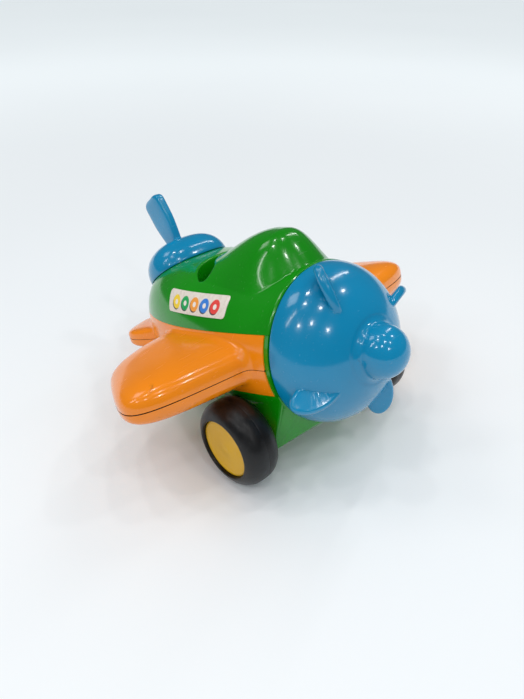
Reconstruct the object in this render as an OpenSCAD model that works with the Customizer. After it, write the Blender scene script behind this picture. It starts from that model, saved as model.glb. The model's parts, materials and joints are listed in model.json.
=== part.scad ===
// A toddler's push-along toy airplane: a hollow egg-shaped body of four mouldings, a turning nose
// with four short blades, a tail cap with a fin, two wheels on one axle and a roller at the back.
// Body coordinates: the middle of the round front edge is the origin, the nose points along -Y,
// +Z is up in the body. The whole body then leans back by body_pitch about X.

/* [Body] */
// Radius of the round front edge of the body
ring_r = 45; // [43:0.5:47]
// Half width of the body at its widest
belly_half = 52; // [50:0.5:54]
// Length of the body behind the front edge
body_len = 150; // [146:1:154]
// Nose-up lean of the body on its wheels, in degrees
body_pitch = 18; // [17:0.5:19]
// Thickness of the moulded walls
wall = 2.6; // [2.4:0.1:3]
// Height of the cabin hump above the body
hump_h = 18; // [14:0.5:19]

/* [Wings] */
// Half span, from the middle of the body to a wing tip
half_span = 110; // [106:1:113]
// Rise of a wing's upper side above its joint line
wing_rise = 15.5; // [13:0.5:16]
// Drop of a wing's lower side below its joint line
wing_drop = 13.5; // [12:0.5:14]
// Reach of a tail plane tip from the middle of the body plan
tail_reach = 95.5; // [93:0.5:98]

/* [Nose] */
// Bulge of the nose dome in front of the body
dome_len = 34.5; // [33:0.5:36]
// Radius of the round spinner
spinner_r = 14.5; // [13:0.5:15.5]
// Reach of the spinner in front of the body
nose_reach = 50.5; // [49:0.5:53]
// Standing height of a blade above the dome
blade_h = 12; // [8:0.5:12]

/* [Wheels] */
// Outer radius of a tyre
tyre_r = 25.4; // [24:0.2:26]
// Width of a tyre
tyre_w = 23; // [22:0.5:24]
// Distance between the middles of the two tyres
track = 116; // [115:0.5:118]
// Diameter of the steel wheel axle
axle_d = 5; // [4:0.5:6]
// Radius of the roller under the tail
roller_r = 9; // [8.5:0.1:9.5]

/* [Hidden] */
$fn = 64;

// Heights of the joint lines between the body mouldings, in body coordinates
belt_top = 20;
seam = 2;
belt_low = -14;
collar = 3;
// Centre from which the plan of the body and wings is drawn
plan_y = 62;
// Section rounding: 2 is an ellipse, more is squarer
front_n = 2;
rear_n = 2.85;
// Rise of the back of the body above the front edge
crown_rise = 2.6;
// Wheel axle behind and below the middle of the front edge, in body coordinates
axle_back = 24.6;
axle_drop = 39.3;
// Height of the front edge's middle above the ground, and its place along the standing length
ring_z = tyre_r + axle_back * sin(body_pitch) + axle_drop * cos(body_pitch);
ring_y = -61.9;
// Joint of the tail cap: its highest point and its lowest point, as [y, z]
cap_top = [102, 48];
cap_low = [147, 25];
// Running clearance of turning parts
run_fit = 0.08;
// Gap between neighbouring mouldings that do not touch
gap = 0.3;

green = [0.04, 0.55, 0.09];
orange = [0.96, 0.52, 0.06];
blue = [0.02, 0.53, 0.74];
yellow = [0.93, 0.72, 0.05];
black = [0.06, 0.06, 0.07];
steel = [0.72, 0.73, 0.75];
white = [0.93, 0.92, 0.88];

// ---- shape of the body -------------------------------------------------------------------

function clamp01(t) = min(1, max(0, t));
function smooth(t) = let(u = clamp01(t)) u * u * (3 - 2 * u);
function smax(a, b, k) = max(a, b) + k / 4 * pow(max(0, 1 - abs(a - b) / k), 2);

// Egg: half width, top and bottom heights along the body
function half_w(y) = let(m = 62, front = m / sqrt(1 - pow(ring_r / belly_half, 2)))
    y < m ? belly_half * sqrt(1 - pow((m - y) / front, 2))
          : belly_half * pow(max(1e-6, 1 - pow((y - m) / (body_len - m), 2.2)), 1 / 2.2);
function top_h(y) = let(m = 98)
    y < m ? ring_r + crown_rise * smooth(y / m)
          : (ring_r + crown_rise) * pow(max(1e-6, 1 - pow((y - m) / (body_len - m), 2.4)), 1 / 2.4);
function low_h(y) = ring_r * pow(max(1e-6, 1 - pow(max(0, y) / body_len, 2.2)), 1 / 2.2);
function round_n(y) = front_n + (rear_n - front_n) * smooth(y / 100);
function hump(x, y) = let(
        rise = sin(90 * clamp01((y - 2 - 7 * pow(x / 20, 2)) / 18)),
        fall = 1 - smooth((y - 26) / 59),
        across = 1 - min(1, pow(abs(x) / 31, 2.4)))
    hump_h * rise * fall * across;

// Below 1 inside the body, above 1 outside; e is the depth under the outer surface
function egg(p, e) = let(
        y = p[1],
        n = round_n(y),
        up = p[2] > 0,
        z = up ? max(0, p[2] - hump(p[0], y)) : -p[2],
        a = max(0.5, half_w(y + e * smooth((y - 90) / 30)) - e),
        h = max(0.5, (up ? top_h(y + e * smooth((y - 90) / 30)) : low_h(y + e * smooth((y - 90) / 30))) - e))
    pow(abs(p[0]) / a, n) + pow(z / h, n);

// Distance from c along d to the surface
function reach(c, d, e, lo, hi, steps) = steps == 0 ? (lo + hi) / 2
    : let(m = (lo + hi) / 2)
      egg(c + m * d, e) < 1 ? reach(c, d, e, m, hi, steps - 1) : reach(c, d, e, lo, m, steps - 1);

// Plan of the wings: inside four straight edges, each with its normal and its distance
wing_edges = [[[0.149, -0.989], 55], [[1, 0.04], half_span + 8.5], [[0.848, 0.53], half_span - 18],
    [[0.1, 0.995], 31.5]];
function sumv(v, i = 0) = i >= len(v) ? 0 : v[i] + sumv(v, i + 1);
function wing_plan(a, e) = let(d = [abs(cos(a)), sin(a)])
    pow(sumv([for (s = wing_edges) pow(max(0, d * s[0]) / (s[1] - e), 8)]), -1 / 8);
// A tail plane lies along one plan angle, with this half width in degrees and half thickness
tail_angle = 66;
tail_spread = 14.5;
tail_thick = 7.5;
function tail_plan(a, e) = let(off = abs((a < 90 ? a : 180 - a) - tail_angle) / tail_spread)
    off < 1 ? (tail_reach - e) * pow(1 - pow(off, 4), 1 / 4) : 1;
function bulge(r, h, p, el) = pow(pow(cos(el) / r, p) + pow(abs(sin(el)) / h, p), -1 / p);

// Fillets where a wing and a tail plane leave the body
wing_fillet = 5;
tail_fillet = 6;

// Radius of the orange band with its wings, from the plan centre
function band_r(a, el, e) = let(
        d = [cos(el) * cos(a), cos(el) * sin(a), sin(el)],
        body = reach([0, plan_y, seam], d, e, 0, 130, 18),
        wing = bulge(wing_plan(a, e), (el > 0 ? wing_rise : wing_drop) - e, 3.5, el),
        tail = bulge(tail_plan(a, e), tail_thick - e, 5, el))
    smax(smax(body, wing, wing_fillet), tail, tail_fillet);

// Elevation at which the body meets a level cut at height z
function cut_el(a, z, e) = let(
        r = reach([0, plan_y, z], [cos(a), sin(a), 0], e, 0, 130, 18))
    atan2(z - seam, r);

// ---- closed shells from two grids of points ------------------------------------------------

function flat(v) = [for (x = v) for (y = x) y];
function quad(a, b, c, d) = [[a, b, c], [b, d, c]];
function turn(faces, flip) = flip ? [for (f = faces) [f[2], f[1], f[0]]] : faces;

// The solid between two grids [i][j]. A ring closes i on itself; without a ring both ends are
// closed. With tips, the last j row runs to one outer and one inner point.
module between(outer, inner, ring = false, tips = [], flip = false) {
    ni = len(outer);
    nj = len(outer[0]);
    base = ni * nj;
    last = ring ? ni - 1 : ni - 2;
    out_tip = 2 * base;
    skin = [for (i = [0:last], j = [0:nj - 2]) let(a = i * nj + j, b = ((i + 1) % ni) * nj + j)
        each quad(a, a + 1, b, b + 1)];
    lining = [for (f = skin) [f[0] + base, f[2] + base, f[1] + base]];
    foot = [for (i = [0:last]) let(a = i * nj, b = ((i + 1) % ni) * nj)
        each quad(a, b, base + a, base + b)];
    rim = [for (i = [0:last]) let(a = i * nj + nj - 1, b = ((i + 1) % ni) * nj + nj - 1)
        each (len(tips) > 0 ? [[a, out_tip, b], [base + a, base + b, out_tip + 1]]
                            : quad(b, a, base + b, base + a))];
    ends = ring ? [] : [for (j = [0:nj - 2]) let(b = (ni - 1) * nj + j)
        each concat(quad(j + 1, j, base + j + 1, base + j), quad(b, b + 1, base + b, base + b + 1))];
    polyhedron(concat(flat(outer), flat(inner), tips),
        turn(concat(skin, lining, foot, rim, ends), flip), convexity = 10);
}

module body_frame() {
    translate([0, ring_y, ring_z]) rotate([-body_pitch, 0, 0]) children();
}

// Places children on the nose axis, with +Z forward
module nose_axis() {
    body_frame() rotate([90, 0, 0]) children();
}

// Places children on a cross axis at a body height and distance, with +Z to the left
module cross_axis(y, z) {
    body_frame() translate([0, y, z]) rotate([0, 90, 0]) children();
}

// ---- orange band with wings ----------------------------------------------------------------

// Plan angles from the front right corner round the tail to the front left corner
band_turns = 72;
band_angles = [for (i = [0:band_turns]) -58 + i * 296 / band_turns];
function band_grid(e, z1, n) = [for (a = band_angles) let(e1 = cut_el(a, z1, e))
    [for (j = [0:n]) let(el = e1 * pow(j / n, 1.25), r = band_r(a, el, e))
        [r * cos(el) * cos(a), plan_y + r * cos(el) * sin(a), seam + r * sin(el)]]];

module band(z1) {
    difference() {
        between(band_grid(0, z1, 9), band_grid(wall, z1, 9), flip = z1 < seam);
        translate([-80, collar - 60, -40]) cube([160, 60, 80]);
    }
}

// ---- green shells --------------------------------------------------------------------------

// Point inside the body from which its surface is seen in every direction
core = [0, 72, 8];
function unit(v) = v / norm(v);
function on_body(c, d, e) = c + d * reach(c, d, e, 0, 130, 18);

// Edge of a green shell at the level cut z: over the front arc, then along both sides to the tail.
// s is 1 for the upper shell and -1 for the lower one.
front_steps = 9;
side_steps = 18;
function corner_angle(z, e) = let(p = on_body([0, 0, z], [1, 0, 0], e)) atan2(z, p[0]);
function edge_right(z, s, e) = let(a0 = corner_angle(z, e)) concat(
    [for (i = [0:front_steps]) let(a = s * 90 + (a0 - s * 90) * i / front_steps)
        on_body([0, 0, 0], [cos(a), 0, sin(a)], e)],
    [for (i = [1:side_steps]) let(a = -49.5 + 139.5 * i / side_steps)
        on_body([0, plan_y, z], [cos(a), sin(a), 0], e)]);
function closed_edge(v) = concat(v, [for (i = [len(v) - 2:-1:1]) [-v[i][0], v[i][1], v[i][2]]]);
function shell_edge(z, s, e) = closed_edge(edge_right(z, s, e));

cap_mid = [0, (cap_top[0] + cap_low[0]) / 2, (cap_top[1] + cap_low[1]) / 2];
cap_up = unit([0, cap_top[0] - cap_low[0], cap_top[1] - cap_low[1]]);
cap_out = [0, cap_up[2], -cap_up[1]];
edge_count = front_steps + side_steps;
function cap_turn(i) = 180 * (i < front_steps ? 0.36 * i / front_steps
    : 0.36 + 0.64 * pow((i - front_steps) / side_steps, 1.15));
function cap_ring(e) = closed_edge([for (i = [0:edge_count]) let(b = cap_turn(i))
    on_body(cap_mid, cos(b) * cap_up + sin(b) * [1, 0, 0], e)]);

function swept(from, to, n, e) = [for (i = [0:len(from) - 1])
    [for (j = [0:n]) j == 0 ? from[i] : j == n ? to[i]
        : on_body(core, unit((1 - j / n) * unit(from[i] - core) + j / n * unit(to[i] - core)), e)]];

// Crescent slot round the back of the hump: centre, radius of its middle line and half sweep
slot_y = 49.5;
slot_mid = 28.8;
slot_sweep = 60;
slot_half_w = 5.7;
slot_floor = 25;
// Wall of the slot's well, which runs up into the middle of the shell's thickness
well_wall = 2;
function slot_turns(r) = let(cap = r / slot_mid * 180 / PI) concat(
    [for (i = [0:4]) -slot_sweep - cap * cos(22.5 * i)],
    [for (i = [1:9]) slot_sweep * (i / 5 - 1)],
    [for (i = [0:4]) slot_sweep + cap * sin(22.5 * i)]);
function slot_width(a, r) = let(over = max(0, abs(a) - slot_sweep) * slot_mid * PI / 180)
    max(0.3, sqrt(max(0, r * r - over * over)));
function slot_point(a, side, r) = let(d = slot_mid + side * slot_width(a, r))
    [d * sin(a), slot_y + d * cos(a)];
module slot_outline() {
    turns = slot_turns(slot_half_w);
    last = len(turns) - 1;
    polygon(concat([for (a = turns) slot_point(a, 1, slot_half_w)],
        [for (i = [last:-1:0]) slot_point(turns[i], -1, slot_half_w)]));
}
module slot_well() {
    r = slot_half_w + well_wall;
    top = [for (a = slot_turns(r)) [for (s = [-1:1]) let(p = slot_point(a, s, r))
        on_body([p[0], p[1], slot_floor], [0, 0, 1], wall / 2)]];
    low = [for (row = top) [for (p = row) [p[0], p[1], slot_floor - well_wall]]];
    between(top, low);
}

// Long screws clamp the four body mouldings together through posts inside the walls
post_places = [for (s = [-1, 1], p = [[37, 52], [33, 104]]) [s * p[0], p[1]]];
post_r = 4.5;
screw_r = 1.5;
screw_hole_r = 1.8;
pilot_r = 1.3;
head_r = 3;
head_hole_r = 3.4;
head_depth = 5;
arm_h = 4.5;
function wall_x(y, z) = on_body([0, y, z], [1, 0, 0], wall / 2)[0];
function wall_z(x, y, s) = on_body([x, y, 0], [0, 0, s], wall / 2)[2];
function post_end(p, s) = wall_z(abs(p[0]) + 0.8 * post_r, p[1] + 0.8 * post_r, s);
function head_z(p) = post_end(p, -1) + head_depth;
screw_top = belt_top + 11;

// A post at each place between two heights
module posts(z0, z1, r = post_r) {
    for (p = post_places) translate([p[0], p[1], z0]) cylinder(r = r, h = z1 - z0);
}

// Arms that tie the posts to the side walls
module arms(z0, z1) {
    for (p = post_places) {
        long = wall_x(p[1], (z0 + z1) / 2) - abs(p[0]);
        translate([p[0] > 0 ? p[0] : p[0] - long, p[1] - post_r / 2, z0]) cube([long, post_r, z1 - z0]);
    }
}

// Screws through the wings
wing_screw_places = [for (s = [-1, 1]) [s * 82, 46]];
wing_post_r = 3.8;
function wing_z(p, h, e) = let(
        v = [abs(p[0]), p[1] - plan_y],
        r = wing_plan(atan2(v[1], v[0]), e))
    (h - e) * pow(1 - pow(norm(v) / r, 3.5), 1 / 3.5);
module wing_posts(h, s, r = wing_post_r) {
    for (p = wing_screw_places) let(z = wing_z(p, h, wall / 2) - 0.4)
        translate([p[0], p[1], seam + (s > 0 ? 0 : -z)]) cylinder(r = r, h = z);
}
wing_head_z = seam - wing_z(wing_screw_places[0], wing_drop, 0) + 4;
wing_screw_top = seam + wing_z(wing_screw_places[0], wing_rise, wall) - 1.5;

module upper_shell() {
    color(green) body_frame() difference() {
        union() {
            between(swept(shell_edge(belt_top, 1, 0), cap_ring(0), 12, 0),
                    swept(shell_edge(belt_top, 1, wall), cap_ring(wall), 12, wall),
                    ring = true);
            slot_well();
            for (p = post_places)
                translate([p[0], p[1], belt_top])
                    cylinder(r = post_r, h = post_end(p, 1) - belt_top);
        }
        translate([0, 0, slot_floor]) linear_extrude(60) slot_outline();
        posts(belt_top - 1, screw_top + 1, pilot_r);
    }
}

// ---- lower shell with the axle housing and the roller lugs -----------------------------------

low_core = [0, 66, -2];
low_tip_y = 66;
low_steps = 9;
function swept_low(from, tip, e) = [for (p = from)
    [for (j = [0:low_steps - 1]) let(t = j / low_steps) j == 0 ? p
        : on_body(low_core, unit((1 - t) * unit(p - low_core) + t * unit(tip - low_core)), e)]];
function low_tip(e) = on_body([0, low_tip_y, 0], [0, 0, -1], e);
module lower_skin() {
    between(swept_low(shell_edge(belt_low, -1, 0), low_tip(0), 0),
            swept_low(shell_edge(belt_low, -1, wall), low_tip(wall), wall),
            ring = true, tips = [low_tip(0), low_tip(wall)], flip = true);
}

// Axle housing: the lower half of the front edge drawn out to a level box under the body
housing_half = 43;
housing_low = 15 - ring_z;
housing_front = -2.5;
housing_rear = 30;
housing_tall = 17;
housing_top = -16;
corner_r = 3;
module housing(inset) {
    half = housing_half - corner_r - inset;
    hull() {
        intersection() {
            translate([0, inset > 0 ? -1 : 0.5, 0]) rotate([-90, 0, 0])
                cylinder(r = ring_r - (inset > 0 ? inset + gap : 0), h = inset > 0 ? 4 : 2.5, $fn = 48);
            translate([-60, -5, -60]) cube([120, 20, 60 + housing_top + inset]);
        }
        rotate([body_pitch, 0, 0])
            for (y = [housing_front + corner_r + inset, housing_rear - corner_r - inset])
                translate([-half, y, housing_low + corner_r + inset]) {
                    rotate([0, 90, 0]) cylinder(r = corner_r, h = 2 * half, $fn = 24);
                    translate([-corner_r, -corner_r, 0])
                        cube([2 * (half + corner_r), 2 * corner_r, housing_tall - inset]);
                }
    }
}

// The roller under the tail
roller_back = 100;
roller_w = 14;
pin_r = 1.5;
lug_t = 2.6;
lug_r = 5;
lug_top = -20;
roller_side = 0.5;
roller_z = (roller_r - ring_z + roller_back * sin(body_pitch)) / cos(body_pitch);

module roller_lugs() {
    for (s = [-1, 1])
        translate([s * (roller_w / 2 + roller_side + lug_t / 2), roller_back, roller_z]) {
            rotate([0, 90, 0]) cylinder(r = lug_r, h = lug_t, center = true);
            translate([-lug_t / 2, -lug_r, 0]) cube([lug_t, 2 * lug_r, lug_top - roller_z]);
        }
}

module lower_shell() {
    color(green) body_frame() difference() {
        union() {
            difference() {
                union() {
                    lower_skin();
                    housing(0);
                }
                housing(wall);
            }
            for (p = post_places) let(z = post_end(p, -1))
                translate([p[0], p[1], z]) cylinder(r = post_r, h = belt_low - z);
            roller_lugs();
        }
        translate([0, axle_back, -axle_drop]) rotate([0, 90, 0])
            cylinder(r = bush_r, h = 3 * housing_half, center = true);
        posts(-60, 0, screw_hole_r);
        for (p = post_places) translate([p[0], p[1], -60])
            cylinder(r = head_hole_r, h = 60 + head_z(p));
        translate([0, roller_back, roller_z]) {
            cube([roller_w + 2 * roller_side, 2 * roller_r + 4, 2 * roller_r], center = true);
            rotate([0, 90, 0]) cylinder(r = pin_r, h = 60, center = true);
        }
    }
}

module wing_upper_half() {
    color(orange) body_frame() difference() {
        union() {
            band(belt_top);
            posts(seam, belt_top);
            arms(belt_top - arm_h, belt_top);
            wing_posts(wing_rise, 1);
        }
        posts(seam - 1, belt_top + 1, screw_hole_r);
        for (p = wing_screw_places) translate([p[0], p[1], seam - 1])
            cylinder(r = pilot_r, h = wing_screw_top - seam + 1.5);
    }
}

module wing_lower_half() {
    color(orange) body_frame() difference() {
        union() {
            band(belt_low);
            posts(belt_low, seam);
            arms(belt_low, belt_low + arm_h);
            wing_posts(wing_drop, -1);
        }
        posts(belt_low - 1, seam + 1, screw_hole_r);
        for (p = wing_screw_places) translate([p[0], p[1], -40]) {
            cylinder(r = screw_hole_r, h = 60);
            cylinder(r = head_hole_r, h = 40 + wing_head_z);
        }
    }
}

// ---- tail cap ------------------------------------------------------------------------------

cap_h = 20;
cap_proud = 0.8;
cap_rows = 7;
function cap_point(p, v, grow, h) = let(d = p - cap_mid)
    cap_mid + (norm(d) + grow) * pow(cos(v), 0.75) * unit(d) + h * pow(sin(v), 0.9) * cap_out;
function cap_grid(e) = [for (p = cap_ring(0))
    [for (j = [0:cap_rows]) cap_point(p, j * 90 / (cap_rows + 1), cap_proud - e, cap_h - e)]];
function cap_tip(e) = cap_mid + (cap_h - e) * cap_out;

// Spigot that centres the cap in the opening: a thin ring below a flange inside the cap's wall
spigot_h = 4;
spigot_t = 1.6;
function cap_step(e, shrink, h) = [for (p = cap_ring(e)) let(d = p - cap_mid)
    cap_mid + (norm(d) - shrink) * unit(d) + h * cap_out];
function across_rings(rings) = [for (i = [0:len(rings[0]) - 1]) [for (r = rings) r[i]]];
spigot_out = across_rings([cap_step(wall + gap, 0, -spigot_h), cap_step(wall + gap, 0, gap),
    cap_step(0, 1, gap), cap_step(0, 1, wall)]);
spigot_in = across_rings([for (h = [-spigot_h, gap, wall / 2, wall])
    cap_step(wall + gap + spigot_t, 0, h)]);

// Fin: rounded sections up a line that leans back
fin_foot = [0, 129.5, 50];
fin_head = [0, 146, 86.5];
fin_rows = 12;
fin_round = 16;
function fin_chord(t) = 12 + 8 * smooth(t / 0.6);
function fin_end(t) = t < 0.8 ? 1 : pow(max(0.01, 1 - pow((t - 0.8) / 0.2, 4)), 1 / 2.8);
function squared(v) = sign(v) * sqrt(abs(v));
function fin_point(t, a) = let(
        c = fin_chord(t) / 2 * fin_end(t) * squared(sin(a)),
        k = (3.2 + 0.5 * t) * fin_end(t) * squared(cos(a)))
    fin_foot + t * (fin_head - fin_foot) + [k, c, -0.4 * c];
module fin() {
    rows = [for (i = [0:fin_rows]) let(t = i < 8 ? i / 10 : 0.8 + 0.2 * sin((i - 8) * 22.5))
        [for (k = [0:fin_round - 1]) fin_point(t, k * 360 / fin_round)]];
    n = fin_round;
    polyhedron(flat(rows), concat(
        [for (i = [0:fin_rows - 1], k = [0:n - 1]) let(a = i * n + k, b = i * n + (k + 1) % n)
            each [[a, a + n, b + n], [a, b + n, b]]],
        [[for (k = [0:n - 1]) k], [for (k = [n - 1:-1:0]) fin_rows * n + k]]));
}

module tail_cap() {
    color(blue) body_frame() union() {
        between(cap_grid(0), cap_grid(wall), ring = true, tips = [cap_tip(0), cap_tip(wall)]);
        between(spigot_out, spigot_in, ring = true);
        fin();
    }
}

// ---- nose ----------------------------------------------------------------------------------

dome_r = ring_r - 0.3;
dome_back = 0.6;
shaft_r = 2.5;
shaft_back = -20;
shaft_front = 30;
boss_r = 6;
bearing_r = 4.5;
bearing_len = 10;
flange_t = 1;
boss_back = flange_t + gap;
// Width of the fillet at the foot of the spinner
flare = 4.5;
// Half outline of the dome, the fillet and the round spinner, with its wall taken off by inset
function dome_outline(inset) = let(
        r = dome_r - inset,
        h = dome_len - inset,
        s = spinner_r - inset,
        ball = nose_reach - spinner_r,
        a1 = acos((s + flare) / r),
        z1 = dome_back + h * sin(a1))
    concat([[0, 0], [r, 0]],
        [for (i = [0:14]) let(a = a1 * i / 14) [r * cos(a), dome_back + h * sin(a)]],
        [for (a = [25:15:85]) [s + flare * (1 - sin(a)), z1 + (ball - z1) * (1 - cos(a))]],
        [for (a = [0:15:90]) [s * cos(a), ball + s * sin(a)]]);

// Four blades stand out from the nose axis, each on a root line that crosses the dome at a slant
blade_angles = [for (k = [0:3]) 20 + 90 * k];
blade_t = 5;
blade_half = 9.3;
blade_at = 37.5;
blade_slant = 42;
blade_bury = 1.8;
blade_f = dome_back + dome_len * sqrt(1 - pow(blade_at / dome_r, 2));
// Height of the dome's surface along a blade's root line, from the root's middle
function root_v(u) = let(f = (blade_f - u * cos(blade_slant) - dome_back) / dome_len)
    sqrt(pow(dome_r, 2) * (1 - f * f) - pow(u * sin(blade_slant), 2)) - blade_at;
module blade_outline() {
    places = [for (i = [0:16]) -blade_half * cos(180 * i / 16)];
    polygon(concat(
        [for (u = places) [u, root_v(u) + blade_h * pow(max(0, 1 - pow(abs(u) / blade_half, 2.3)), 1 / 2.3)]],
        [for (i = [8:-1:0]) let(u = places[2 * i]) [u, root_v(u) - blade_bury]]));
}
module blade() {
    translate([blade_at, 0, blade_f]) rotate([0, 90, 0]) rotate([90, 0, -blade_slant])
        linear_extrude(blade_t, center = true) blade_outline();
}

module nose_dome() {
    color(blue) nose_axis() difference() {
        union() {
            difference() {
                union() {
                    rotate_extrude() polygon(dome_outline(0));
                    for (a = blade_angles) rotate([0, 0, 90 + a]) blade();
                }
                translate([0, 0, -0.01]) rotate_extrude() polygon(dome_outline(wall));
                translate([0, 0, -20]) cylinder(r = 80, h = 20 + dome_back);
            }
            translate([0, 0, boss_back]) cylinder(r = boss_r, h = nose_reach - wall + 0.5 - boss_back);
        }
        translate([0, 0, -1]) cylinder(r = shaft_r, h = shaft_front + 3);
    }
}

module nose_shaft() {
    color(steel) nose_axis() translate([0, 0, shaft_back])
        cylinder(r = shaft_r, h = shaft_front - shaft_back);
}

module nose_bush() {
    color(white) nose_axis() difference() {
        union() {
            translate([0, 0, -collar - bearing_len]) cylinder(r = bearing_r, h = collar + bearing_len);
            cylinder(r = 7, h = flange_t);
        }
        translate([0, 0, -30]) cylinder(r = shaft_r + run_fit, h = 60);
    }
}

module nose_washer() {
    color(white) nose_axis() translate([0, 0, -collar - bearing_len - 1.3]) difference() {
        cylinder(r = 7, h = 1);
        translate([0, 0, -1]) cylinder(r = shaft_r + run_fit, h = 3);
    }
}

module nose_clip() {
    color(steel) nose_axis() translate([0, 0, -collar - bearing_len - 2.4]) difference() {
        union() {
            cylinder(r = 6, h = 0.8);
            translate([0, 0, -1.2]) cylinder(r = 4, h = 1.6);
        }
        translate([0, 0, -3]) cylinder(r = shaft_r, h = 6);
    }
}

module front_bulkhead() {
    color(green) nose_axis() difference() {
        union() {
            translate([0, 0, -collar]) cylinder(r = ring_r - wall - 2 * gap, h = collar);
            translate([0, 0, -collar - bearing_len]) cylinder(r = bearing_r + 3, h = bearing_len + 1);
            intersection() {
                translate([0, 0, -collar]) cylinder(r = ring_r, h = collar);
                translate([-60, belt_low + 0.1, -collar]) cube([120, belt_top - belt_low - 0.2, collar]);
            }
        }
        translate([0, 0, -30]) cylinder(r = bearing_r, h = 60);
    }
}

// ---- wheels --------------------------------------------------------------------------------

bush_r = 4;
axle_r = axle_d / 2;
hub_r = 17.3;
seat_r = 15.6;
tyre_round = 9.4;
hub_face = track / 2 + tyre_w / 2 - 1.9;
hub_in = 47.3;
module axle_line() {
    cross_axis(axle_back, -axle_drop) children();
}

// Section of a tyre across the wheel axis, with its middle at the origin
module tyre_section() {
    half = tyre_w / 2;
    r = tyre_round;
    translate([seat_r, -half + r]) square([tyre_r - seat_r, tyre_w - 2 * r]);
    for (s = [-1, 1]) intersection() {
        translate([tyre_r - r, s * (half - r)]) circle(r);
        translate([seat_r, -half]) square([tyre_r, tyre_w]);
    }
}
module tyre(side) {
    color(black) axle_line() rotate([side > 0 ? 0 : 180, 0, 0]) difference() {
        translate([0, 0, track / 2]) rotate_extrude() tyre_section();
        translate([0, 0, hub_face - 1.6]) cylinder(r = hub_r, h = 20);
        cylinder(r = seat_r, h = 200);
    }
}
module hub(side) {
    color(yellow) axle_line() rotate([side > 0 ? 0 : 180, 0, 0]) difference() {
        union() {
            translate([0, 0, hub_in + 1]) cylinder(r = seat_r, h = hub_face - hub_in - 1.5);
            translate([0, 0, hub_face - 1.6]) cylinder(r = hub_r, h = 1);
            translate([0, 0, hub_face - 0.6]) cylinder(r1 = hub_r, r2 = hub_r - 0.6, h = 0.6);
            translate([0, 0, hub_in - 1.2]) cylinder(r = 5.5, h = 4);
        }
        translate([0, 0, hub_in - 3]) cylinder(r = axle_r, h = hub_face - hub_in - 1);
    }
}
module right_tyre() { tyre(-1); }
module left_tyre() { tyre(1); }
module right_hub() { hub(-1); }
module left_hub() { hub(1); }

module wheel_axle() {
    color(steel) axle_line() cylinder(r = axle_r, h = 2 * (hub_face - 5), center = true);
}

module axle_bushes() {
    color(white) axle_line() for (a = [0, 180]) rotate([a, 0, 0]) difference() {
        union() {
            translate([0, 0, housing_half - 6]) cylinder(r = bush_r, h = 6);
            translate([0, 0, housing_half]) cylinder(r = 6.5, h = 1);
        }
        translate([0, 0, housing_half - 10]) cylinder(r = axle_r + run_fit, h = 20);
    }
}

module wheel_spacers() {
    color(white) axle_line() for (a = [0, 180]) rotate([a, 0, 0])
        translate([0, 0, housing_half + 1.3]) difference() {
            cylinder(r = 6, h = 1.5);
            translate([0, 0, -1]) cylinder(r = axle_r, h = 4);
        }
}

// Places children on the roller's axis
module roller_line() {
    cross_axis(roller_back, roller_z) children();
}

module tail_roller() {
    color(black) roller_line() difference() {
        union() {
            cylinder(r = roller_r, h = roller_w - 2, center = true);
            cylinder(r = roller_r - 1, h = roller_w, center = true);
        }
        cylinder(r = pin_r + run_fit, h = 2 * roller_w, center = true);
    }
}

module roller_pin() {
    color(steel) roller_line() cylinder(r = pin_r, h = roller_w + 2 * (roller_side + lug_t), center = true);
}

// ---- screws and labels -----------------------------------------------------------------------

module screw(z0, z1) {
    translate([0, 0, z0 - 2]) difference() {
        cylinder(r = head_r, h = 2);
        for (a = [0, 90]) rotate([0, 0, a]) translate([-2, -0.4, -1]) cube([4, 0.8, 2]);
    }
    translate([0, 0, z0 - 0.5]) cylinder(r = pilot_r, h = z1 - z0 + 0.5);
}

module body_screws() {
    color(steel) body_frame() for (p = post_places) translate([p[0], p[1], 0])
        screw(head_z(p), screw_top);
}

module wing_screws() {
    color(steel) body_frame() for (p = wing_screw_places) translate([p[0], p[1], 0])
        screw(wing_head_z, wing_screw_top);
}

// Printed label on the side, from front to rear and from low to high
// Corners as [y, z]: front low, front high, rear low, rear high
label_corners = [[31.5, 26.4], [32.5, 36.2], [79.5, 28], [84.2, 38.6]];
label_off = 0.3;
label_t = 0.5;
function label_point(u, v, e) = let(
        c = label_corners,
        p = (1 - u) * ((1 - v) * c[0] + v * c[1]) + u * ((1 - v) * c[2] + v * c[3]))
    on_body([0, p[0], p[1]], [1, 0, 0], e);
function label_grid(e) = [for (i = [0:12]) [for (j = [0:4]) label_point(i / 12, j / 4, e)]];
module label() {
    between(label_grid(-label_off - label_t), label_grid(-label_off));
}

module left_label() {
    color(white) body_frame() label();
}

module right_label() {
    color(white) body_frame() mirror([1, 0, 0]) label();
}

upper_shell();
wing_upper_half();
wing_lower_half();
lower_shell();
front_bulkhead();
tail_cap();
nose_dome();
nose_shaft();
nose_bush();
nose_washer();
nose_clip();
wheel_axle();
axle_bushes();
wheel_spacers();
right_tyre();
left_tyre();
right_hub();
left_hub();
tail_roller();
roller_pin();
body_screws();
wing_screws();
right_label();
left_label();
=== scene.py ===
"""Looks of the toy airplane: fine moulded surfaces, materials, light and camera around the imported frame."""

import json
import math

import bmesh
import bpy
import numpy as np
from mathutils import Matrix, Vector
from mathutils.kdtree import KDTree


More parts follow.
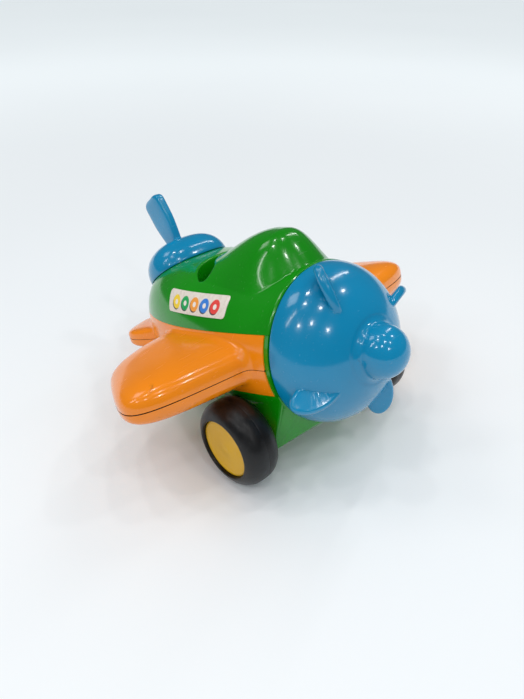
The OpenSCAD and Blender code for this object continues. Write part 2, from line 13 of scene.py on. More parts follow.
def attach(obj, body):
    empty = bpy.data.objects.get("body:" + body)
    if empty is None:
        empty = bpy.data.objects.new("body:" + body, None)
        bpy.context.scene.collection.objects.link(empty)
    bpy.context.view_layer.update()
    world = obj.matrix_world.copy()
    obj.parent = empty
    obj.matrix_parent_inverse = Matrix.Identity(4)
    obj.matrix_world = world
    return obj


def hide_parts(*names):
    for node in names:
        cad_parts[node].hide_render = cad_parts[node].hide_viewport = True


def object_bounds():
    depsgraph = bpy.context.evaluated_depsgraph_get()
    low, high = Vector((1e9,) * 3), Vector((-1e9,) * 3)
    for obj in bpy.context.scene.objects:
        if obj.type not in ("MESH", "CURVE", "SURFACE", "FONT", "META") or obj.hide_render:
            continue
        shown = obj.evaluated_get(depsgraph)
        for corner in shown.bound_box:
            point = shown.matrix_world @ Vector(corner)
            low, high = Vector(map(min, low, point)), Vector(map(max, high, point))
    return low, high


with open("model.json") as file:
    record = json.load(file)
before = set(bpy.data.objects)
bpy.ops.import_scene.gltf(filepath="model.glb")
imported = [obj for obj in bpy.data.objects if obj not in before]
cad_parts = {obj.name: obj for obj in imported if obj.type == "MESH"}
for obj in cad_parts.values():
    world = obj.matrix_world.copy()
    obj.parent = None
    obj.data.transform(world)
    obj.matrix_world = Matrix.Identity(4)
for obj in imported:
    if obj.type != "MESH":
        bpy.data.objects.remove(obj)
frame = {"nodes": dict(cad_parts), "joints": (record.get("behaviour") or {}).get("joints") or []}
nodes = frame["nodes"]
cad_lo, cad_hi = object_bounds()

MM = 0.001
JOINT = {j["name"]: j for j in frame["joints"]}
RING = np.array(JOINT["nose_spin"]["pos_m"]) / MM
NOSE_AXIS = np.array(JOINT["nose_spin"]["axis"])
AXLE = np.array(JOINT["wheel_roll"]["pos_m"]) / MM
COS, SIN = -NOSE_AXIS[1], NOSE_AXIS[2]

# ---- shape of the body, in body millimetres: nose along -Y, middle of the front edge at 0 --------

RING_R, BELLY, LENGTH, WALL = 45.0, 52.0, 150.0, 2.6
HUMP_H, CROWN, REAR_N = 18.0, 2.6, 2.85
HUMP_START, HUMP_RISE, HUMP_BOW, HUMP_PEAK, HUMP_FALL, HUMP_HALF = 2, 18, 7, 26, 59, 31
SEAM, BELT_TOP, BELT_LOW, COLLAR = 2.0, 20.0, -14.0, 3.0
PLAN_Y, TOP_Y = 62.0, 98.0              # where the body is widest and where its back is highest
TAIL_POWER, BACK_POWER = 2.2, 2.4       # how blunt the tail is in plan and in side view
CAP_TOP, CAP_LOW = (102.0, 48.0), (147.0, 25.0)


def smooth(t):
    u = np.clip(t, 0, 1)
    return u * u * (3 - 2 * u)


def smax(a, b, k):
    return np.maximum(a, b) + k / 4 * np.maximum(0, 1 - np.abs(a - b) / k) ** 2


def blunt(y, start, power):
    """Falls from 1 at start to 0 at the tail as a superellipse."""
    return np.maximum(1e-6, 1 - (np.maximum(0, y - start) / (LENGTH - start)) ** power) ** (1 / power)


def half_w(y):
    front = PLAN_Y / math.sqrt(1 - (RING_R / BELLY) ** 2)
    return np.where(y < PLAN_Y, BELLY * np.sqrt(np.maximum(1e-9, 1 - ((PLAN_Y - y) / front) ** 2)),
                    BELLY * blunt(y, PLAN_Y, TAIL_POWER))


def top_h(y):
    return np.where(y < TOP_Y, RING_R + CROWN * smooth(y / TOP_Y),
                    (RING_R + CROWN) * blunt(y, TOP_Y, BACK_POWER))


def low_h(y):
    return RING_R * blunt(y, 0, TAIL_POWER)


def hump(x, y):
    """Height that the cabin hump adds: a quick rise that bows back at the sides, then a long fall."""
    rise = np.sin(math.pi / 2 * np.clip((y - HUMP_START - HUMP_BOW * (x / 20) ** 2) / HUMP_RISE, 0, 1))
    fall = 1 - smooth((y - HUMP_PEAK) / HUMP_FALL)
    across = 1 - np.minimum(1, (np.abs(x) / HUMP_HALF) ** 2.4)
    return HUMP_H * rise * fall * across


def egg(p, e):
    """Below 1 inside the body, above 1 outside; e is the depth under the outer surface.

    The last term keeps every point behind the tail outside."""
    x, y, z = p[..., 0], p[..., 1], p[..., 2]
    n = 2 + (REAR_N - 2) * smooth(y / 100)
    up = z > 0
    zz = np.where(up, np.maximum(0, z - hump(x, y)), -z)
    ye = y + e * smooth((y - 90) / 30)
    a = np.maximum(0.5, half_w(ye) - e)
    h = np.maximum(0.5, np.where(up, top_h(ye), low_h(ye)) - e)
    return (np.abs(x) / a) ** n + (zz / h) ** n + 9 * (ye > LENGTH)


def reach(c, d, e, hi=130.0, steps=34):
    """Distance from c along d to the surface at depth e, by bisection."""
    lo = np.zeros(d.shape[:-1])
    hi = np.full(d.shape[:-1], hi)
    for _ in range(steps):
        m = (lo + hi) / 2
        inside = egg(c + m[..., None] * d, e) < 1
        lo = np.where(inside, m, lo)
        hi = np.where(inside, hi, m)
    return (lo + hi) / 2


def on_body(c, d, e):
    d = np.asarray(d, float)
    return c + reach(c, d, e)[..., None] * d


def unit(v):
    return v / np.linalg.norm(v, axis=-1, keepdims=True)


HALF_SPAN, WING_RISE, WING_DROP, TAIL_REACH = 110.0, 15.5, 13.5, 95.5
# front, tip, tip's rear corner and rear: direction in plan and distance from the middle of the body
WING_EDGES = [((0.149, -0.989), 55.0), ((1, 0.04), HALF_SPAN + 8.5),
              ((0.848, 0.53), 92.0), ((0.1, 0.995), 31.5)]
TAIL_ANGLE, TAIL_SPREAD, TAIL_THICK = 66.0, 14.5, 7.5
WING_FILLET, TAIL_FILLET = 5.0, 6.0


def wing_plan(a, e):
    """Plan radius of the wing at angle a: its edges, blended by a power sum."""
    c, s = np.abs(np.cos(a)), np.sin(a)
    total = sum((np.maximum(0, c * n[0] + s * n[1]) / (w - e)) ** 8 for n, w in WING_EDGES)
    return total ** (-1 / 8)


def tail_plan(a, e):
    deg = np.degrees(a)
    off = np.abs(np.where(deg < 90, deg, 180 - deg) - TAIL_ANGLE) / TAIL_SPREAD
    return np.where(off < 1, (TAIL_REACH - e) * np.maximum(0, 1 - off ** 4) ** 0.25, 1.0)


def bulge(r, h, p, el):
    """Radius at elevation el of a superellipse r wide and h high."""
    return ((np.cos(el) / np.maximum(r, 1e-3)) ** p + (np.abs(np.sin(el)) / h) ** p) ** (-1 / p)


def band_r(a, el, e):
    """Radius of the belt with wings and tail planes at plan angle a, elevation el and depth e."""
    d = np.stack([np.cos(el) * np.cos(a), np.cos(el) * np.sin(a), np.sin(el)], -1)
    body = reach(np.array([0, PLAN_Y, SEAM]), d, e)
    wing = bulge(wing_plan(a, e), np.where(el > 0, WING_RISE, WING_DROP) - e, 3.5, el)
    tail = bulge(np.maximum(1, tail_plan(a, e)), TAIL_THICK - e, 5, el)
    return smax(smax(body, wing, WING_FILLET), tail, TAIL_FILLET)


# ---- mesh helpers ----------------------------------------------------------------------------

def to_world(p):
    """Body millimetres to metres in the row frame."""
    p = np.asarray(p, float)
    y = RING[1] + p[..., 1] * COS + p[..., 2] * SIN
    z = RING[2] - p[..., 1] * SIN + p[..., 2] * COS
    return np.stack([p[..., 0] + RING[0], y, z], -1) * MM


def make(name, points, faces, smooth_shade=True):
    mesh = bpy.data.meshes.new(name)
    mesh.from_pydata(np.asarray(points).tolist(), [], [list(map(int, f)) for f in faces])
    mesh.update()
    obj = bpy.data.objects.new(name, mesh)
    bpy.context.scene.collection.objects.link(obj)
    if smooth_shade:
        mesh.polygons.foreach_set("use_smooth", [True] * len(mesh.polygons))
    return obj


def outward(obj):
    bm = bmesh.new()
    bm.from_mesh(obj.data)
    bmesh.ops.recalc_face_normals(bm, faces=bm.faces)
    if bm.calc_volume(signed=True) < 0:
        bmesh.ops.reverse_faces(bm, faces=bm.faces)
    bm.to_mesh(obj.data)
    bm.free()
    return obj


def grid_faces(ni, nj, ring, start=0):
    i = np.arange(ni if ring else ni - 1)
    a = (i[:, None] * nj + np.arange(nj - 1)[None]) + start
    b = (((i + 1) % ni)[:, None] * nj + np.arange(nj - 1)[None]) + start
    return np.stack([a, a + 1, b + 1, b], -1).reshape(-1, 4)


def shell(name, outer, inner, ring=False, tips=None):
    """Closed solid between two grids [i][j]; the last row may run to one outer and one inner point."""
    ni, nj = outer.shape[:2]
    base = ni * nj
    points = [outer.reshape(-1, 3), inner.reshape(-1, 3)]
    skin = grid_faces(ni, nj, ring)
    faces = [skin, skin[:, ::-1] + base]
    i = np.arange(ni if ring else ni - 1)
    a, b = i * nj, ((i + 1) % ni) * nj
    faces.append(np.stack([a, b, b + base, a + base], -1))
    extra = []
    if tips is not None:
        points.append(np.array(tips))
        t = a + nj - 1
        u = b + nj - 1
        extra += [(p, 2 * base, q) for p, q in zip(t, u)]
        extra += [(p + base, q + base, 2 * base + 1) for p, q in zip(t, u)]
    else:
        faces.append(np.stack([b + nj - 1, a + nj - 1, a + nj - 1 + base, b + nj - 1 + base], -1))
    if not ring:
        j = np.arange(nj - 1)
        k = (ni - 1) * nj + j
        faces.append(np.stack([j + 1, j, j + base, j + 1 + base], -1))
        faces.append(np.stack([k, k + 1, k + 1 + base, k + base], -1))
    flat_faces = [tuple(f) for block in faces for f in block] + extra
    return outward(make(name, to_world(np.concatenate(points)), flat_faces))


def boolean(obj, other, operation):
    mod = obj.modifiers.new("cut", "BOOLEAN")
    mod.operation = operation
    mod.solver = "EXACT"
    mod.object = other
    bpy.context.view_layer.update()
    result = bpy.data.meshes.new_from_object(obj.evaluated_get(bpy.context.evaluated_depsgraph_get()))
    obj.modifiers.clear()
    old = obj.data
    obj.data = result
    bpy.data.meshes.remove(old)
    bpy.data.objects.remove(other)
    obj.data.polygons.foreach_set("use_smooth", [True] * len(obj.data.polygons))


def soften(obj, angle, radius, rounds):
    """Rounds the creases sharper than angle into small fillets of about this radius, in millimetres."""
    bm = bmesh.new()
    bm.from_mesh(obj.data)
    creases = [e for e in bm.edges if len(e.link_faces) == 2 and e.calc_face_angle(0) > math.radians(angle)
               and not e.is_convex]
    if creases:
        tree = KDTree(len(creases))
        for i, e in enumerate(creases):
            tree.insert((e.verts[0].co + e.verts[1].co) / 2, i)
        tree.balance()
        near = [v for v in bm.verts if (tree.find(v.co)[2] or 0) < radius * MM]
        for _ in range(rounds):
            bmesh.ops.smooth_vert(bm, verts=near, factor=0.5,
                                  use_axis_x=True, use_axis_y=True, use_axis_z=True)
    bm.to_mesh(obj.data)
    bm.free()


MERGE = 0.001   # points closer than this, in millimetres, are one


def clean(obj):
    """Splits the faces into triangles; drops the flat, doubled ones that a boolean's folds leave."""
    bm = bmesh.new()
    bm.from_mesh(obj.data)
    bmesh.ops.remove_doubles(bm, verts=bm.verts[:], dist=MERGE * MM)
    bmesh.ops.triangulate(bm, faces=bm.faces[:])
    pairs = {}
    for f in bm.faces:
        pairs.setdefault(frozenset(v.index for v in f.verts), []).append(f)
    doubled = [f for pair in pairs.values() if len(pair) > 1 for f in pair]
    bmesh.ops.delete(bm, geom=doubled, context="FACES")
    bm.to_mesh(obj.data)
    bm.free()


def finish_piece(obj, body, material, stands_for, sharp=38):
    """Cleans the mesh, gives it its material, attaches it to the body it rides on, and hides the CAD nodes it
    stands for.
    """
    clean(obj)
    obj.data.set_sharp_from_angle(angle=math.radians(sharp))
    obj.data.materials.clear()
    obj.data.materials.append(material)
    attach(obj, body)
    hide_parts(*stands_for)


def hull(name, points):
    obj = make(name, points, [])
    bm = bmesh.new()
    bm.from_mesh(obj.data)
    bmesh.ops.convex_hull(bm, input=bm.verts)
    loose = [v for v in bm.verts if not v.link_faces]
    bmesh.ops.delete(bm, geom=loose, context="VERTS")
    bm.to_mesh(obj.data)
    bm.free()
    return outward(obj)


# ---- materials -------------------------------------------------------------------------------

def new_material(name):
    mat = bpy.data.materials.new(name)
    mat.use_nodes = True
    tree = mat.node_tree
    shader = tree.nodes["Principled BSDF"]
    return mat, tree, shader


def node(tree, kind, **values):
    n = tree.nodes.new(kind)
    for key, value in values.items():
        if hasattr(n, key):
            setattr(n, key, value)
        else:
            n.inputs[key].default_value = value
    return n


def ramp(tree, source, stops):
    r = tree.nodes.new("ShaderNodeValToRGB")
    while len(r.color_ramp.elements) < len(stops):
        r.color_ramp.elements.new(0.5)
    for el, (pos, col) in zip(r.color_ramp.elements, stops):
        el.position = pos
        el.color = (*col, 1)
    tree.links.new(source, r.inputs["Fac"])
    return r.outputs["Color"]


def grey(v):
    return (v, v, v)


def plastic(name, color, rough=0.16, coat=0.35, seam=False, wear=0.45):
    """Glossy moulded plastic: flow marks, dust, worn specks, haze, hairline scratches and orange peel.

    With seam, the mesh attribute groove darkens the joint line with dirt."""
    mat, tree, shader = new_material(name)
    link = tree.links.new
    coord = node(tree, "ShaderNodeTexCoord")
    flow = node(tree, "ShaderNodeTexNoise", Scale=9.0, Detail=3.0, Roughness=0.5, Distortion=0.6)
    link(coord.outputs["Object"], flow.inputs["Vector"])
    dark = tuple(c * 0.86 for c in color)
    light = tuple(min(1, c * 1.12) for c in color)
    base = ramp(tree, flow.outputs["Fac"], [(0.3, dark), (0.5, color), (0.72, light)])
    dust = node(tree, "ShaderNodeTexNoise", Scale=420.0, Detail=2.0, Roughness=0.6)
    link(coord.outputs["Object"], dust.inputs["Vector"])
    speck = ramp(tree, dust.outputs["Fac"], [(0.70, grey(0)), (0.78, grey(0.05))])
    mix = node(tree, "ShaderNodeMix", data_type="RGBA")
    link(speck, mix.inputs["Factor"])
    link(base, mix.inputs["A"])
    mix.inputs["B"].default_value = (0.75, 0.74, 0.70, 1)
    marks = node(tree, "ShaderNodeTexNoise", Scale=46.0, Detail=5.0, Roughness=0.62, Distortion=0.4)
    link(coord.outputs["Object"], marks.inputs["Vector"])
    worn = node(tree, "ShaderNodeMix", data_type="RGBA")
    link(ramp(tree, marks.outputs["Fac"], [(0.69, grey(0)), (0.735, grey(wear))]), worn.inputs["Factor"])
    link(mix.outputs["Result"], worn.inputs["A"])
    worn.inputs["B"].default_value = tuple(c * 0.18 + 0.01 for c in color) + (1,)
    color_out = worn.outputs["Result"]
    if seam:
        groove = node(tree, "ShaderNodeAttribute", attribute_name="groove")
        dirt = node(tree, "ShaderNodeMix", data_type="RGBA")
        link(groove.outputs["Fac"], dirt.inputs["Factor"])
        link(color_out, dirt.inputs["A"])
        dirt.inputs["B"].default_value = (0.025, 0.018, 0.012, 1)
        color_out = dirt.outputs["Result"]
    link(color_out, shader.inputs["Base Color"])
    haze = node(tree, "ShaderNodeTexNoise", Scale=26.0, Detail=5.0, Roughness=0.65)
    link(coord.outputs["Object"], haze.inputs["Vector"])
    stretch = node(tree, "ShaderNodeMapping")
    stretch.inputs["Scale"].default_value = (60, 900, 500)
    stretch.inputs["Rotation"].default_value = (0.3, 0.5, 0.9)
    link(coord.outputs["Object"], stretch.inputs["Vector"])
    scratch = node(tree, "ShaderNodeTexNoise", Scale=1.0, Detail=1.0, Roughness=0.4)
    link(stretch.outputs["Vector"], scratch.inputs["Vector"])
    hair = ramp(tree, scratch.outputs["Fac"], [(0.66, grey(0)), (0.74, grey(0.10))])
    rough_base = ramp(tree, haze.outputs["Fac"], [(0.3, grey(rough * 0.75)), (0.75, grey(rough * 1.6))])
    add = node(tree, "ShaderNodeMath", operation="ADD")
    link(rough_base, add.inputs[0])
    link(hair, add.inputs[1])
    link(add.outputs["Value"], shader.inputs["Roughness"])
    grain = node(tree, "ShaderNodeTexNoise", Scale=260.0, Detail=2.0, Roughness=0.5)
    link(coord.outputs["Object"], grain.inputs["Vector"])
    wave = node(tree, "ShaderNodeTexNoise", Scale=34.0, Detail=1.0, Roughness=0.4)
    link(coord.outputs["Object"], wave.inputs["Vector"])
    height = node(tree, "ShaderNodeMath", operation="MULTIPLY_ADD")
    link(wave.outputs["Fac"], height.inputs[0])
    height.inputs[1].default_value = 3.0
    link(grain.outputs["Fac"], height.inputs[2])
    bump = node(tree, "ShaderNodeBump", Strength=0.072, Distance=0.0006)
    link(height.outputs["Value"], bump.inputs["Height"])
    link(bump.outputs["Normal"], shader.inputs["Normal"])
    shader.inputs["IOR"].default_value = 1.5
    shader.inputs["Coat Weight"].default_value = coat
    shader.inputs["Coat Roughness"].default_value = 0.05
    return mat


def rubber(name, color, rough=0.42):
    """Satin rubber or soft plastic: scuffs that lighten and dull it, over a fine grain."""
    mat, tree, shader = new_material(name)
    link = tree.links.new
    coord = node(tree, "ShaderNodeTexCoord")
    scuff = node(tree, "ShaderNodeTexNoise", Scale=60.0, Detail=6.0, Roughness=0.7)
    link(coord.outputs["Object"], scuff.inputs["Vector"])
    base = ramp(tree, scuff.outputs["Fac"], [(0.35, color), (0.62, tuple(c * 1.5 + 0.002 for c in color)),
                                             (0.8, (0.035, 0.034, 0.033))])
    link(base, shader.inputs["Base Color"])
    link(ramp(tree, scuff.outputs["Fac"], [(0.3, grey(rough * 0.7)), (0.75, grey(rough * 1.4))]),
         shader.inputs["Roughness"])
    grain = node(tree, "ShaderNodeTexNoise", Scale=700.0, Detail=3.0, Roughness=0.6)
    link(coord.outputs["Object"], grain.inputs["Vector"])
    bump = node(tree, "ShaderNodeBump", Strength=0.25, Distance=0.0003)
    link(grain.outputs["Fac"], bump.inputs["Height"])
    link(bump.outputs["Normal"], shader.inputs["Normal"])
    shader.inputs["IOR"].default_value = 1.42
    return mat


def metal(name, color, rough=0.25):
    """Drawn metal with fine lines along X."""
    mat, tree, shader = new_material(name)
    link = tree.links.new
    coord = node(tree, "ShaderNodeTexCoord")
    drawn = node(tree, "ShaderNodeMapping")
    drawn.inputs["Scale"].default_value = (30, 1500, 1500)
    link(coord.outputs["Object"], drawn.inputs["Vector"])
    lines = node(tree, "ShaderNodeTexNoise", Scale=1.0, Detail=3.0, Roughness=0.6)
    link(drawn.outputs["Vector"], lines.inputs["Vector"])
    link(ramp(tree, lines.outputs["Fac"], [(0.3, tuple(c * 0.85 for c in color)), (0.7, color)]),
         shader.inputs["Base Color"])
    link(ramp(tree, lines.outputs["Fac"], [(0.3, grey(rough * 0.7)), (0.7, grey(rough * 1.5))]),
         shader.inputs["Roughness"])
    shader.inputs["Metallic"].default_value = 1.0
    return mat


GREEN = (0.003, 0.25, 0.002)
ORANGE = (0.92, 0.25, 0.002)
BLUE = (0.0, 0.225, 0.43)
YELLOW = (0.72, 0.40, 0.0)

mat_green = plastic("green_plastic", GREEN)
mat_orange = plastic("orange_plastic", ORANGE, seam=True, rough=0.18)
mat_blue = plastic("blue_plastic", BLUE, rough=0.17)
mat_yellow = plastic("yellow_plastic", YELLOW, rough=0.34, coat=0.1, wear=0.2)
mat_tyre = rubber("tyre_rubber", (0.004, 0.004, 0.0045), rough=0.36)
mat_roller = rubber("roller_plastic", (0.006, 0.006, 0.007), rough=0.45)
mat_steel = metal("drawn_steel", (0.62, 0.63, 0.65))
mat_zinc = metal("zinc_screw", (0.55, 0.56, 0.60), rough=0.35)
mat_white = plastic("white_acetal", (0.80, 0.79, 0.75), rough=0.35, coat=0.0)

# ---- green upper shell -----------------------------------------------------------------------

CORE = np.array([0, 72.0, 8.0])


def corner_angle(z, e):
    """Angle on the front ring where the cut at height z meets it."""
    p = on_body(np.array([0, 0, z]), np.array([1.0, 0, 0]), e)
    return math.atan2(z, p[0])


SIDE_FROM, SIDE_TURN = -49.5, 139.5     # plan angles of the side edge: from the front ring to the tail


def edge_right(z, s, e, nf, ns):
    """Right half of a shell's edge: nf steps round the front ring, then ns steps back along z.

    s is 1 for the shell above the cut and -1 for the one below it."""
    a0 = corner_angle(z, e)
    top = s * math.pi / 2
    a = top + (a0 - top) * np.arange(nf + 1) / nf
    front = on_body(np.zeros(3), np.stack([np.cos(a), 0 * a, np.sin(a)], -1), e)
    b = np.radians(SIDE_FROM + SIDE_TURN * np.arange(1, ns + 1) / ns)
    side = on_body(np.array([0, PLAN_Y, z]), np.stack([np.cos(b), np.sin(b), 0 * b], -1), e)
    return np.concatenate([front, side])


def closed_edge(v):
    """Adds the mirrored half, without the two points that both halves share."""
    return np.concatenate([v, v[-2:0:-1] * np.array([-1, 1, 1])])


CAP_MID = np.array([0, (CAP_TOP[0] + CAP_LOW[0]) / 2, (CAP_TOP[1] + CAP_LOW[1]) / 2])
CAP_UP = unit(np.array([0, CAP_TOP[0] - CAP_LOW[0], CAP_TOP[1] - CAP_LOW[1]]))
CAP_OUT = np.array([0, CAP_UP[2], -CAP_UP[1]])


CAP_SHARE = 0.36        # part of the cap's edge that faces the front ring's points


def cap_ring(e, nf, ns):
    """Edge of the tail cap on the body at depth e, with as many points as a shell's edge."""
    i = np.arange(nf + ns + 1)
    t = np.where(i < nf, CAP_SHARE * i / nf,
                 CAP_SHARE + (1 - CAP_SHARE) * (np.maximum(0, i - nf) / ns) ** 1.15)
    b = math.pi * t[:, None]
    return closed_edge(on_body(CAP_MID, np.cos(b) * CAP_UP + np.sin(b) * np.array([1.0, 0, 0]), e))


def swept(start, end, rows, depth, core=CORE):
    """Rows of surface points from one edge to the other; depth gives each row's depth."""
    out = []
    for t, e in zip(rows, depth):
        d = unit((1 - t) * unit(start - core) + t * unit(end - core))
        out.append(on_body(core, d, e))
    return np.stack(out, 1)


NF, NS, NROWS = (56, 130, 104)
RIM_DEPTH = 0.55        # how far a rounded rim falls back at a shell's edge
body_rows = np.concatenate([[0, 0.002, 0.005], np.linspace(0.012, 0.988, NROWS), [0.995, 0.998, 1]])
body_depth = np.concatenate([[RIM_DEPTH, 0.14, 0.0], np.zeros(NROWS), [0.0, 0.14, RIM_DEPTH]])
edge_o, cap_o = closed_edge(edge_right(BELT_TOP, 1, 0, NF, NS)), cap_ring(0, NF, NS)
edge_i, cap_i = closed_edge(edge_right(BELT_TOP, 1, WALL, NF, NS)), cap_ring(WALL, NF, NS)
outer = swept(edge_o, cap_o, body_rows, body_depth)
outer[:, -1] = cap_ring(RIM_DEPTH, NF, NS)
outer[:, 0] = closed_edge(edge_right(BELT_TOP, 1, RIM_DEPTH, NF, NS))
inner = swept(edge_i, cap_i, body_rows, np.full(len(body_rows), WALL))
inner[:, 0], inner[:, -1] = edge_i, cap_i
upper = shell("upper_shell_fine", outer, inner, ring=True)

# Crescent slot: a well joined to the shell, then a cutter whose mouth flares into a rounded rim
SLOT_Y, SLOT_MID, SLOT_SWEEP, SLOT_HALF, SLOT_FLOOR, WELL_WALL = 49.5, 28.8, 60.0, 5.7, 25.0, 2.0
RIM_R = 1.5
ARC_POINTS, END_POINTS = 61, 15         # on each long arc and round each end of the slot


def heading(a):
    return np.array([math.sin(a), math.cos(a)])


def slot_loop(r):
    """Outline of the slot grown to half width r, with its outward normals."""
    pts, nrm = [], []
    sweep = math.radians(SLOT_SWEEP)
    middle = np.array([0, SLOT_Y])
    end = np.array([SLOT_MID * math.sin(sweep), SLOT_Y + SLOT_MID * math.cos(sweep)])

    def put(centre, radius, out):
        pts.append(centre + radius * out)
        nrm.append(out)

    for a in np.linspace(-sweep, sweep, ARC_POINTS):
        put(middle, SLOT_MID + r, heading(a))
    for k in range(1, END_POINTS + 1):
        put(end, r, heading(sweep + math.pi * k / (END_POINTS + 1)))
    for a in np.linspace(sweep, -sweep, ARC_POINTS):
        put(middle, r - SLOT_MID, -heading(a))
    for k in range(1, END_POINTS + 1):
        put(end * np.array([-1, 1]), r, heading(-sweep + math.pi + math.pi * k / (END_POINTS + 1)))
    return np.array(pts), np.array(nrm)


def height_at(xy, e):
    """Height of the body's surface at depth e above the slot's floor."""
    start = np.concatenate([xy, np.full((len(xy), 1), SLOT_FLOOR)], 1)
    return on_body(start, np.tile([0.0, 0, 1.0], (len(xy), 1)), e)[:, 2]


def ring_quads(count, n):
    """Quads between count rings of n points each."""
    return [(k * n + i, k * n + (i + 1) % n, (k + 1) * n + (i + 1) % n, (k + 1) * n + i)
            for k in range(count - 1) for i in range(n)]


def stack(name, loops, top=None, place=to_world):
    """Solid through loops of equal length; top gives the faces of its upper end if that isn't flat."""
    n = len(loops[0])
    faces = ring_quads(len(loops), n)
    faces.append(tuple(range(n))[::-1])
    faces += [tuple((len(loops) - 1) * n + i for i in f) for f in (top or [range(n)])]
    return outward(make(name, place(np.concatenate(loops)), faces))


def ladder():
    """Faces across the slot's outline: rungs between its two long arcs, then round each end."""
    arc, end = ARC_POINTS, END_POINTS
    near, far = list(range(arc)), list(range(2 * arc + end - 1, arc + end - 1, -1))
    faces = [(near[i], near[i + 1], far[i + 1], far[i]) for i in range(arc - 1)]
    for start in (arc, 2 * arc + end):
        row = [start - 1] + list(range(start, start + end)) + [(start + end) % (2 * (arc + end))]
        a, b = 0, len(row) - 1
        while b - a > 2:
            faces.append((row[a], row[a + 1], row[b - 1], row[b]))
            a, b = a + 1, b - 1
        faces.append((row[a], row[a + 1], row[b]))
    return faces


def with_z(xy, z):
    return np.concatenate([xy, np.broadcast_to(z, (len(xy),))[:, None]], 1)


well_xy, _ = slot_loop(SLOT_HALF + WELL_WALL)
lid = [slot_loop(r)[0] for r in (SLOT_HALF + WELL_WALL, SLOT_HALF, 3.8, 1.9, 0.5)]
well_loops = [with_z(well_xy, SLOT_FLOOR - WELL_WALL)] + [with_z(xy, height_at(xy, WALL / 2)) for xy in lid]
well = stack("well", well_loops, ladder())
CUTTER_TOP = 75.0
slot_xy, slot_n = slot_loop(SLOT_HALF)
loops = [with_z(slot_xy, SLOT_FLOOR), with_z(slot_xy, height_at(slot_xy, 0) - 8)]
for deg in (0, 12, 24, 36, 48, 60, 72):
    t = math.radians(deg)
    xy = slot_xy + slot_n * RIM_R * (1 - math.cos(t))
    loops.append(with_z(xy, height_at(xy, 0) - RIM_R * (1 - math.sin(t))))
xy = slot_xy + slot_n * (RIM_R * 1.35)
loops.append(with_z(xy, height_at(xy, 0) + 0.25))
loops.append(with_z(xy, CUTTER_TOP))
boolean(upper, well, "UNION")
boolean(upper, stack("slot_cutter", loops), "DIFFERENCE")
finish_piece(upper, "airframe", mat_green, ["upper_shell"])

# ---- orange belt with wings ------------------------------------------------------------------


def cut_el(a, z, e):
    """Elevation, seen from the joint line's level, at which the belt ends at height z."""
    d = np.stack([np.cos(a), np.sin(a), 0 * a], -1)
    r = reach(np.array([0, PLAN_Y, z]), d, e)
    return np.arctan2(z - SEAM, r)


BAND_FROM, BAND_TURN = -58, 296         # plan angles of the belt, past its cut at the front collar


def band(name, z1, n_turns=620, n_rows=44):
    """Half of the belt, from the joint line to its edge at height z1, with half of the joint's V groove."""
    sign = 1 if z1 > SEAM else -1
    a = np.radians(BAND_FROM + BAND_TURN * np.arange(n_turns + 1) / n_turns)
    rows = (np.arange(n_rows + 1) / n_rows) ** 1.25

    def ring(el, e, lift=0.0):
        r = band_r(a, el, e)
        p = np.stack([r * np.cos(el) * np.cos(a), PLAN_Y + r * np.cos(el) * np.sin(a),
                      SEAM + r * np.sin(el)], -1)
        p[:, 2] += lift
        return p

    e1 = cut_el(a, z1, 0.0)
    tiny = sign * 1e-4
    outer = [ring(0 * a + tiny, 1.3, sign * 0.3), ring(0 * a + tiny, 0.3, sign * 0.3),
             ring(0 * a + tiny, 0.1, sign * 0.38), ring(0 * a + tiny, 0.02, sign * 0.55)]
    groove = [1.0, 1.0, 0.75, 0.0]
    for t in rows[1:-1]:
        outer.append(ring(e1 * t, 0.0))
        groove.append(0.0)
    outer += [ring(e1, 0.0), ring(e1, 0.12), ring(e1, 0.5)]
    groove += [0.0, 0.0, 0.25]
    outer[-3][:, 2] = z1 - sign * 0.4
    outer[-2][:, 2] = z1 - sign * 0.12
    outer[-1][:, 2] = z1
    outer = np.stack(outer, 1)
    e2 = cut_el(a, z1, WALL)
    inner_rows = np.linspace(0, 1, outer.shape[1])
    inner = np.stack([ring(e2 * t + (tiny if t == 0 else 0), WALL) for t in inner_rows], 1)
    inner[:, 0, 2] += sign * 0.3
    obj = shell(name, outer, inner)
    attr = obj.data.attributes.new("groove", "FLOAT", "POINT")
    values = np.concatenate([np.tile(groove, len(a)), np.zeros(inner.size // 3)])
    attr.data.foreach_set("value", values)
    bm = bmesh.new()
    bm.from_mesh(obj.data)
    at = Vector(to_world([0, COLLAR, 0]))
    bmesh.ops.bisect_plane(bm, geom=bm.verts[:] + bm.edges[:] + bm.faces[:], plane_co=at,
                           plane_no=Vector(NOSE_AXIS), clear_outer=True)
    bmesh.ops.holes_fill(bm, edges=[e for e in bm.edges if e.is_boundary], sides=0)
    bm.to_mesh(obj.data)
    bm.free()
    return outward(obj)


finish_piece(band("wing_upper_fine", BELT_TOP), "airframe", mat_orange, ["wing_upper_half"])
finish_piece(band("wing_lower_fine", BELT_LOW), "airframe", mat_orange, ["wing_lower_half"])

# ---- green lower shell with the axle housing -------------------------------------------------

